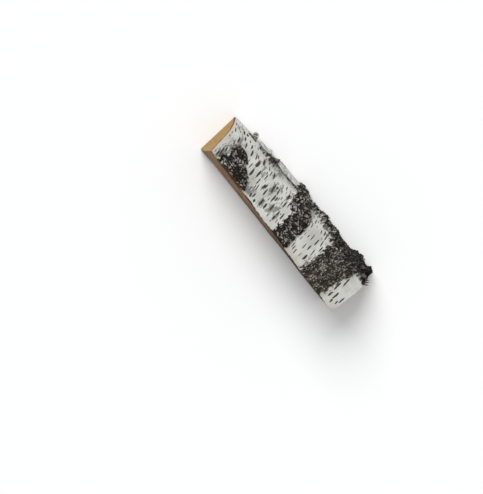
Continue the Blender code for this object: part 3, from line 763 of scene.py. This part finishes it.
slit_middle = np.array([1.0 - reach for reach in LENTICEL_RINGS] + [0.0, 0.0])[None, :, None]
slit_faint = slit_draw.uniform(0.05, 0.75, slit_count) * (np.arange(slit_count) >= len(LENTICELS))
bark_lenticels = add_piece(
    "bark_lenticels", slit_points, slit_faces.reshape(-1, 4), [corky_lenticel()],
    middle=np.broadcast_to(slit_middle, slit_points.shape[:3]),
    faint=np.broadcast_to(slit_faint[:, None, None], slit_points.shape[:3]),
)


# Crust scales: the outermost cork has weathered into small curling scales that are still rooted in the
# crust, grey on top and brown black beneath. They stand largest along the side that faced the weather.
FLAKE_COUNT = 22
FLAKE_LENGTHS = (0.007, 0.012)
FLAKE_WIDTHS = (0.006, 0.011)
FLAKE_CURL_RADII = (0.012, 0.022)
FLAKE_SPACING = 0.012
SCALE_DRAWS = 1500
SCROLL_SHARE = 0.1235
SCROLL_TURN = 13.0
SCROLL_WIDTH = 0.0120
STANDING_SCALES = (
    # Share, turn and heading, then length, width and curl radius in mm
    (0.480, 10, -20, 7, 6, 12), (0.562, 9, -75, 6, 5, 6), (0.590, 9, -35, 8, 4, 14),
    (0.618, 8, -20, 8, 4, 18), (0.902, 8, -70, 7, 7, 9), (0.912, 10, -45, 8, 6, 12),
)
BUTT_SHREDS = (
    (0.988, 36, 12, 9, 2.6, 8), (0.992, 38.5, -35, 8, 2.2, 7), (0.990, 34, 45, 8, 2.4, 8),
    (0.978, 41, -8, 7, 2.6, 10), (0.990, 37, -12, 10, 1.8, 11),
)


def weathered_cork():
    """Thin cork: silvery grey and finely fibrous on the weathered side, brown black on the inner side."""
    finish, tree, outer, shade, rooted = new_finish("weathered_cork", "outer", "shade", "rooted")
    place = add_node(tree, "TexCoord", output="Object")
    grain = add_node(tree, "TexNoise", {"Vector": place, "Scale": 800.0, "Detail": 3.0})
    # The shade mark is each scale's random tone, with painted shade over the butt half's side
    grey = coated(tree, "#1D1915", ((shade, "#AAA69D"), (grain, "#27221C", 0.46, 0.66, 0.0, 0.7)))
    cork = coated(tree, "#241B14", ((outer, grey), (rooted, "#0F0C0A")))
    surfaced(tree, cork, roughness=0.90, height=grain, strength=0.6, depth=0.0004, gloss=0.08)
    return finish


def flake_places():
    """The largest flakes as share, turn, heading, length, width and curl, clear of each other on crust."""
    draw = random.Random(19)
    places = []
    while len(places) < FLAKE_COUNT:
        share, turn = draw.uniform(0.12, 0.975), draw.uniform(9.0, 46.0)
        spot = np.array([share * LENGTH, math.radians(turn) * SLIM_RADIUS])
        clear = all(np.linalg.norm(spot - other[0]) > FLAKE_SPACING for other in places)
        if clear and smooth(-0.04, 0.22, crust_depth(share, turn)) > 0.6:
            sizes = [draw.uniform(*limits) for limits in (FLAKE_LENGTHS, FLAKE_WIDTHS, FLAKE_CURL_RADII)]
            places.append((spot, share, turn, draw.uniform(-65.0, 65.0), *sizes))
    return [place[1:] for place in places]


def small_scales():
    """Small scales strewn over the crust: thick on the side, thin on top, and finer towards the butt."""
    draw = random.Random(29)
    kept = []
    for _ in range(SCALE_DRAWS):
        share, turn = draw.uniform(0.01, 0.985), draw.uniform(2.0, 84.0)
        heading = draw.gauss(0.0, 50.0) + (180.0 if draw.random() < 0.35 else 0.0)
        size = draw.uniform(0.0026, 0.0058) * (1.0 if share < 0.7 else 0.85)
        shape = (size * draw.uniform(0.5, 1.0), size * draw.uniform(1.2, 3.0))
        by_scroll = math.hypot(
            (share - SCROLL_SHARE) * LENGTH, math.radians(turn - SCROLL_TURN) * SLIM_RADIUS)
        clear = by_scroll > 1.3 * SCROLL_WIDTH and turn < upright_turn(share) - 5.0
        if clear and crust_depth(share, turn) > 0.10 and draw.random() < (0.95 if turn < 50.0 else 0.62):
            kept.append((share, turn, heading, size, *shape))
    return kept


def scale_sheets(places, rows, columns):
    """Sheets rooted just inside the crust at their share and turn, curling up and away from it."""
    share, turn, heading, length, width, curl_radius = np.array(places).T
    out = np.stack([np.zeros_like(turn), np.cos(np.radians(turn)), np.sin(np.radians(turn))], axis=-1)
    along = np.tile([1.0, 0.0, 0.0], (len(share), 1))
    root = bark_surface(share, turn, -0.0007)
    return curled_sheets(root, along, out, heading, length, width, curl_radius, 0.45, 0.10, rows, columns)


standing, shreds = (
    [(*row[:3], *(size * 0.001 for size in row[3:])) for row in rows]
    for rows in (STANDING_SCALES, BUTT_SHREDS)
)
scale_groups = (
    (flake_places() + standing, 7, 7, 0.0009), (small_scales(), 5, 4, 0.0006), (shreds, 7, 4, 0.0009),
)
scale_parts = []
scale_points = 0
scale_draw = np.random.default_rng(37)
for places, rows, columns, thickness in scale_groups:
    sheets = scale_sheets(places, rows, columns)
    sheets = sheets + 0.00022 * scale_draw.uniform(-1.0, 1.0, sheets.shape)
    points, faces, outer = shells(sheets, thickness, 0.45)
    if places is not shreds:
        # The saw trimmed what reached past the butt
        butt_cut = MIDDLE_X + LENGTH / 2.0 + BUTT_CUT_SLANT * points[..., 1]
        points[..., 0] = np.minimum(points[..., 0], butt_cut)
    # The billet lies on its lowest scales, which the floor has pushed up
    points[..., 2] += np.maximum(0.0, -points[..., 2].min(axis=(1, 2)))[:, None, None]
    scale_share, scale_turn = np.array(places)[:, :2].T
    # Painted shade: scales over the butt half's side are darker, then each takes its own random tone
    shade = 1.0 - 0.55 * smooth(0.70, 0.78, scale_share) * smooth(56.0, 38.0, scale_turn)
    shade = (shade * scale_draw.beta(1.1, 2.0, len(places)))[:, None, None]
    rooted = smooth(0.45, 0.0, np.repeat(np.linspace(0.0, 1.0, rows), columns))
    scale_marks = [mark.ravel() for mark in np.broadcast_arrays(outer, shade, rooted)]
    scale_parts.append((points.reshape(-1, 3), faces + scale_points, *scale_marks))
    scale_points += points.size // 3
points, faces, outer, shade, rooted = (np.concatenate(columns) for columns in zip(*scale_parts))
crust_scales = add_piece(
    "crust_scales", points, faces, [weathered_cork()], outer=outer, shade=shade, rooted=rooted)


# Peeled bark: thin sheets of the white skin that let go along one edge and stand off the trunk, with
# one that rolled itself into a scroll near the slim end. Their backs show the tan of fresh inner bark.
PLATE_ROWS = 44
PLATE_COLUMNS = 16
PEELED_SHEETS = (
    # First and last share, low and high turn, height over the wood low, high and at the far tip in mm
    (0.284, 0.452, 3, 22, 7.6, 6.4, 0.1), (0.166, 0.236, 4, 20, 5.0, 4.8, 4.0),
    (0.240, 0.268, 5, 16, 4.8, 5.6, 1.0), (0.540, 0.606, 12, 19, 7.4, 8.4, 0.5),
    (0.480, 0.530, 4, 12, 7.4, 8.4, 0.6),
)
PEELED_THICKNESS = 0.0009
SCROLL_ROWS = 72
SCROLL_COLUMNS = 13
SCROLL_RADIUS = 0.0055
SCROLL_TURNS = 2.30
SCROLL_PITCH = 0.0022
SCROLL_ROOT_DEPTH = 0.0024


def paper_bark():
    """A peeled sheet of birch bark: chalky white outside with fine dark slits, tan and smooth inside."""
    finish, tree, outer = new_finish("paper_bark", "outer")
    place = add_node(tree, "TexCoord", output="Object")
    broad = add_node(tree, "TexNoise", {"Vector": place, "Scale": 120.0, "Detail": 4.0})
    streaky = add_node(tree, "Mapping", {0: place, 3: (1100.0, 200.0, 200.0)})
    streaks = add_node(tree, "TexNoise", {"Vector": streaky, "Scale": 1.0, "Detail": 3.0})
    skin = coated(tree, "#C2C2BC", (
        (broad, "#8E8C86", 0.42, 0.62), (streaks, "#4E4B45", 0.55, 0.70, 0.0, 0.65),
    ))
    colour = coated(tree, "#978A7B", ((broad, "#675C50", 0.42, 0.62), (outer, skin)))
    surfaced(tree, colour, roughness=0.62, height=streaks, strength=0.4, depth=0.0003)
    return finish


def peeled_sheet(first_share, last_share, low_turn, high_turn, low, high, tip, seed):
    """A ragged sheet over the trunk at a height that runs from its high edge to its low edge, and waves."""
    part = np.linspace(0.0, 1.0, PLATE_ROWS)[:, None]
    side = np.linspace(1.0, 0.0, PLATE_COLUMNS)[None, :]
    jag = 0.06 * noise(side * 6.0, seed, 91) + 0.03 * noise(side * 13.0, seed, 92)
    share = first_share + (last_share - first_share) * (part + jag * (2.0 * part - 1.0))
    fray = 0.16 * noise(share * LENGTH / 0.007, seed + 0.5, 93)
    fray = fray + 0.07 * noise(share * LENGTH / 0.0025, seed, 94)
    narrowing = 1.0 - 0.30 * np.abs(2.0 * part - 1.0) ** 3
    turn = low_turn + (high_turn - low_turn) * (0.5 + (side - 0.5) * narrowing * (1.0 + fray))
    height = low + (high - low) * side**1.5 + tip * part**4
    height = height + 0.5 * noise(share * LENGTH / 0.011, turn / 7.0 + seed, 95)
    height = height + 0.35 * noise(share * LENGTH / 0.0038, turn / 9.0 + seed, 98)
    return on_billet(share, turn, wood_radius(share, turn) + 0.001 * height)


def scroll_sheet():
    """A spiral rolled up about an axis that lies round the trunk, tighter inwards, a little coned."""
    part = np.linspace(0.0, 1.0, SCROLL_ROWS)[:, None]
    side = np.linspace(-1.0, 1.0, SCROLL_COLUMNS)[None, :]
    out = np.array([0.0, math.cos(math.radians(SCROLL_TURN)), math.sin(math.radians(SCROLL_TURN))])
    along = np.array([1.0, 0.0, 0.0])
    inside = wood_radius(SCROLL_SHARE, SCROLL_TURN) + BARK_GAP + BARK_SKIN
    centre = on_billet(SCROLL_SHARE, SCROLL_TURN, inside + SCROLL_RADIUS - SCROLL_ROOT_DEPTH)
    angle = 2.0 * math.pi * SCROLL_TURNS * part - math.pi / 2.0
    radius = SCROLL_RADIUS - SCROLL_PITCH * SCROLL_TURNS * part
    radius = radius + 0.0003 * noise(part * 9.0, side * 1.5, 96) + 0.0002 * side
    across = side * (0.5 * SCROLL_WIDTH + 0.0010 * noise(part * 11.0, 0.5, 97) - 0.0042 * part**1.5)
    spun = along * np.cos(angle)[..., None] + out * np.sin(angle)[..., None]
    return centre + spun * radius[..., None] + np.cross(out, along) * across[..., None]


peeled = np.stack([peeled_sheet(*row, 1.37 * number) for number, row in enumerate(PEELED_SHEETS)])
peeled_points, peeled_faces, peeled_outer = shells(peeled, PEELED_THICKNESS, 0.4)
peeled_plates = add_piece("peeled_plates", peeled_points, peeled_faces, [paper_bark()], outer=peeled_outer)
scroll_points, scroll_faces, scroll_outer = shells(scroll_sheet()[None], PEELED_THICKNESS, 0.5)
# Rolled up, its white side has stayed half covered by the tan layer under it
bark_scroll = add_piece("bark_scroll", scroll_points, scroll_faces, [paper_bark()], outer=0.35 * scroll_outer)


# The stage: a pale seamless floor seen from above, soft light from a wide panel beyond the sawn end,
# and a long lens in the place and roll that the billet has in the photograph.
def backdrop_paper():
    """Matt white background paper."""
    finish, tree = new_finish("backdrop_paper")
    feed(tree, tree.nodes["Principled BSDF"], {"Base Color": linear("#FDFDFC"), "Roughness": 0.9})
    return finish


FLOOR_REACH = 4.0
floor_corners = [(FLOOR_REACH * x, FLOOR_REACH * y, 0.0) for x, y in ((-1, -1), (1, -1), (1, 1), (-1, 1))]
floor_mesh = bpy.data.meshes.new("floor")
floor_mesh.from_pydata(floor_corners, [], [(0, 1, 2, 3)])
floor_mesh.materials.append(backdrop_paper())
floor = shown("floor", floor_mesh)

world = bpy.data.worlds.new("studio")
world.use_nodes = True
background = world.node_tree.nodes["Background"]
feed(world.node_tree, background, {"Color": linear("#F4F6F8"), "Strength": 0.55})
bpy.context.scene.world = world


def facing(place, back, up):
    """The matrix of something at a place whose -Z looks away from back, with up as near to +Y as can be."""
    back = np.asarray(back) / np.linalg.norm(back)
    side = np.cross(up, back)
    side = side / np.linalg.norm(side)
    columns = np.stack([side, np.cross(back, side), back, place], axis=1)
    return Matrix(np.vstack([columns, [0.0, 0.0, 0.0, 1.0]]).tolist())


PANEL_PLACE = (-1.5, 0.6, 1.3)
PANEL_BACK = (-0.735, 0.282, 0.632)
panel = bpy.data.lights.new("panel", "SUN")
panel.energy, panel.angle = 2.6, math.radians(38.0)
shown("panel", panel).matrix_world = facing(PANEL_PLACE, PANEL_BACK, (0.0, 0.0, 1.0))

LENS_PIXELS = 2000.0
FRAME_HEIGHT_PIXELS = 494.0
SENSOR_WIDTH = 36.0
CAMERA_PLACE = (-0.7670, 0.0124, 3.1327)
CAMERA_BACK = (-0.23928, 0.03405, 0.97035)
CAMERA_UP = (-0.75511, 0.62172, -0.20802)
lens = bpy.data.cameras.new("camera")
lens.sensor_width = SENSOR_WIDTH
lens.lens = SENSOR_WIDTH * LENS_PIXELS / FRAME_HEIGHT_PIXELS
camera = shown("camera", lens)
camera.matrix_world = facing(CAMERA_PLACE, CAMERA_BACK, CAMERA_UP)
bpy.context.scene.camera = camera
bpy.context.scene.view_settings.view_transform = "Standard"
